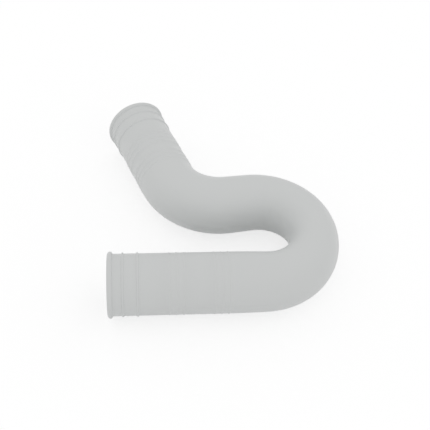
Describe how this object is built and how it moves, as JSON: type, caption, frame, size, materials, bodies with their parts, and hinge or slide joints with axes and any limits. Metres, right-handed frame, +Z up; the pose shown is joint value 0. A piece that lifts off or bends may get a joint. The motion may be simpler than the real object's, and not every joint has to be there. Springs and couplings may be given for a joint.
{
  "type": "flexible sink trap",
  "caption": "Moulded flexible sink trap: a round pipe bent into a U and an elbow in one plane, with a ribbed clamp cuff and a socket at each end.",
  "frame": {"origin": "on the inlet leg's axis, at the middle of the inlet's mouth", "axes": "+X runs from the inlet's mouth along the inlet leg into the pipe, +Y points to the side that the outlet is on, +Z is up, square to the plane of both bends"},
  "size_m": [0.215, 0.2571, 0.059],
  "materials": {
    "white_pvc": "satin"
  },
  "bodies": {
    "root": {"trap_body": "white_pvc"}
  },
  "joints": []
}
